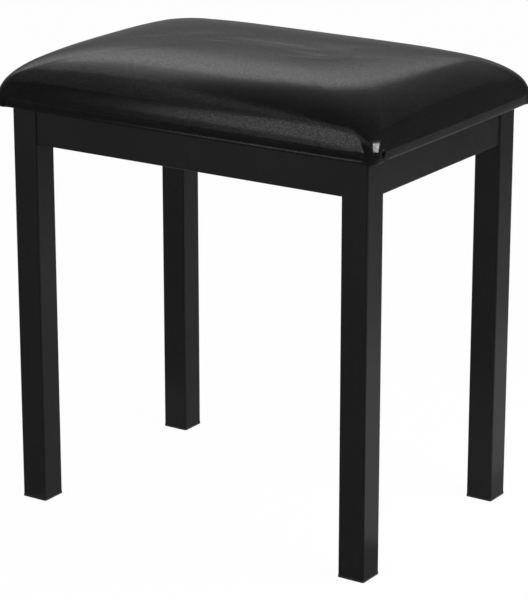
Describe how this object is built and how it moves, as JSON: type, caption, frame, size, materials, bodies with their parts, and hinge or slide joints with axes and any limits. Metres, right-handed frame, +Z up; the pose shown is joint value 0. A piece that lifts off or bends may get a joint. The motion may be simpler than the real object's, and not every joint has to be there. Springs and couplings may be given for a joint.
{
  "type": "keyboard bench",
  "caption": "Rigid bench for a keyboard player: square-tube steel legs joined by flat rails carry a crowned, padded vinyl seat that overhangs the frame; plastic plugs close the feet.",
  "frame": {"origin": "on the floor under the middle of the seat", "axes": "+X along the long side to the right, +Y to the back, +Z up"},
  "size_m": [0.459, 0.321, 0.4925],
  "materials": {
    "frame_powder_coat": "satin",
    "foot_plastic": "matte",
    "zinc_plate": "satin",
    "seat_plywood": "matte",
    "seat_foam": "matte",
    "seat_vinyl": "satin",
    "dust_cloth": "matte"
  },
  "bodies": {
    "root": {"leg_front_left": "frame_powder_coat", "foot_plug_front_left": "foot_plastic", "corner_bracket_front_left": "frame_powder_coat", "leg_front_right": "frame_powder_coat", "foot_plug_front_right": "foot_plastic", "corner_bracket_front_right": "frame_powder_coat", "leg_back_left": "frame_powder_coat", "foot_plug_back_left": "foot_plastic", "corner_bracket_back_left": "frame_powder_coat", "leg_back_right": "frame_powder_coat", "foot_plug_back_right": "foot_plastic", "corner_bracket_back_right": "frame_powder_coat", "long_rail_front": "frame_powder_coat", "long_rail_back": "frame_powder_coat", "short_rail_left": "frame_powder_coat", "short_rail_right": "frame_powder_coat", "frame_welds": "frame_powder_coat", "rail_bolts": "zinc_plate", "rail_weld_nuts": "zinc_plate", "seat_bolts": "zinc_plate", "seat_inserts": "zinc_plate", "seat_board": "seat_plywood", "foam_pad": "seat_foam", "vinyl_cover": "seat_vinyl", "dust_cover": "dust_cloth"}
  },
  "joints": []
}
